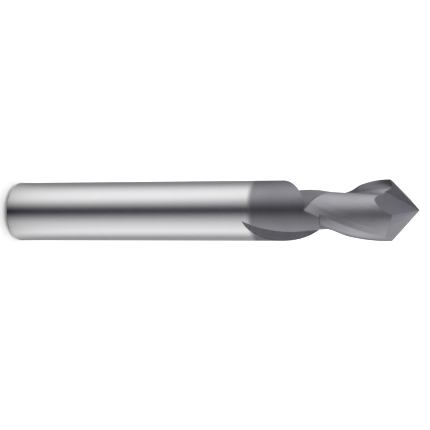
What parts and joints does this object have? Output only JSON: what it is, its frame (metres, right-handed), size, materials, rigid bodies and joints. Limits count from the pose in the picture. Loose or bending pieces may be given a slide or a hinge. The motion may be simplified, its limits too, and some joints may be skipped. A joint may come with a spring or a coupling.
{
  "type": "chamfer mill",
  "caption": "Solid-carbide chamfer mill with a plain cylindrical shank, helical flutes and a pointed end whose angled lips cut chamfers, V-grooves and spot marks; dark-coated cutting end",
  "frame": {"origin": "centre of the shank's flat end face, on the tool axis", "axes": "+Z along the tool axis from the shank to the point; X through the two outer lip corners; to cut, the tool turns from +X towards +Y seen from the shank end up, which is clockwise as the machine sees it from behind the shank"},
  "size_m": [0.008, 0.008, 0.06],
  "materials": {
    "carbide": "bare ground carbide on the shank, grey and bright with fine grinding marks round it; thin dark grey coating with a soft violet tint over the front 23 mm"
  },
  "bodies": {
    "root": {"chamfer_mill": "carbide"}
  },
  "joints": []
}
